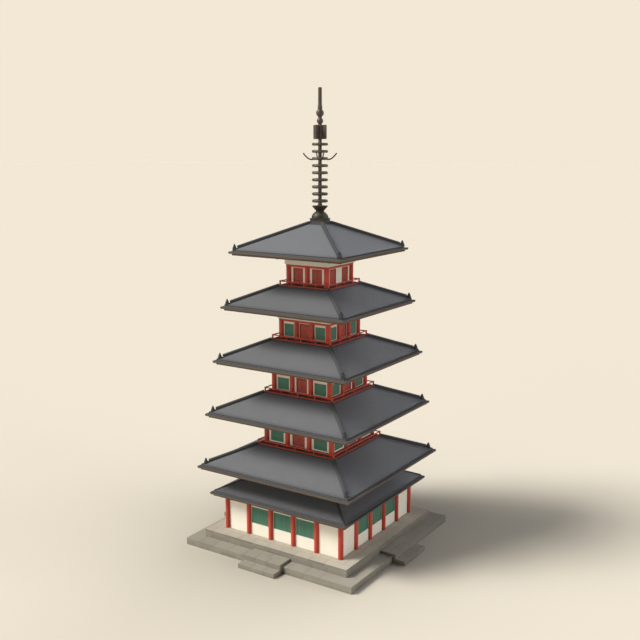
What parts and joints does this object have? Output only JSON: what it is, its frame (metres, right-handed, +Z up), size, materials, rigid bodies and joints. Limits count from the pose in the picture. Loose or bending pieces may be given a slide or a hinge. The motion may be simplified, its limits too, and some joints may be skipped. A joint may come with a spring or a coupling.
{
  "type": "five-storey timber pagoda",
  "caption": "Tiered timber pagoda tower on a stepped stone podium, with tiled roofs, red posts, white walls, green windows, balconies and a ringed bronze spire.",
  "frame": {"origin": "on the ground at the centre of the podium's underside", "axes": "+Z up the tower's axis; -Y is the front, through the middle of the front stair; +X to the right"},
  "size_m": [15.97, 15.97, 32.45],
  "materials": {
    "podium_stone": "dressed pale stone, matte, slightly worn edges",
    "red_timber": "vermilion painted timber, satin",
    "white_plaster": "white lime plaster, matte",
    "green_window": "green painted window bars, satin",
    "red_door": "dark red painted board doors",
    "floor_boards": "dark weathered boards",
    "eave_timber": "brown weathered rafters and boards",
    "roof_tile": "smoked grey clay tile, satin",
    "spire_bronze": "dark weathered bronze"
  },
  "bodies": {
    "root": {"balcony_floor_2": "floor_boards", "balcony_floor_3": "floor_boards", "balcony_floor_4": "floor_boards", "balcony_floor_5": "floor_boards", "eaves_1": "eave_timber", "eaves_2": "eave_timber", "eaves_3": "eave_timber", "eaves_4": "eave_timber", "eaves_5": "eave_timber", "podium": "podium_stone", "railing_2": "red_timber", "railing_3": "red_timber", "railing_4": "red_timber", "railing_5": "red_timber", "roof_1": "roof_tile", "roof_2": "roof_tile", "roof_3": "roof_tile", "roof_4": "roof_tile", "roof_5": "roof_tile", "skirt_eaves": "eave_timber", "skirt_posts": "red_timber", "skirt_roof": "roof_tile", "skirt_wall": "white_plaster", "skirt_windows": "green_window", "spire_base": "spire_bronze", "spire_finial": "spire_bronze", "spire_flame": "spire_bronze", "spire_rings": "spire_bronze", "stair_back": "podium_stone", "stair_front": "podium_stone", "stair_left": "podium_stone", "stair_right": "podium_stone", "storey_1_posts": "red_timber", "storey_1_wall": "white_plaster", "storey_2_doors_windows": "red_door", "storey_2_posts": "red_timber", "storey_2_wall": "white_plaster", "storey_3_doors_windows": "red_door", "storey_3_posts": "red_timber", "storey_3_wall": "white_plaster", "storey_4_doors_windows": "red_door", "storey_4_posts": "red_timber", "storey_4_wall": "white_plaster", "storey_5_doors_windows": "red_door", "storey_5_posts": "red_timber", "storey_5_wall": "white_plaster"}
  },
  "joints": []
}
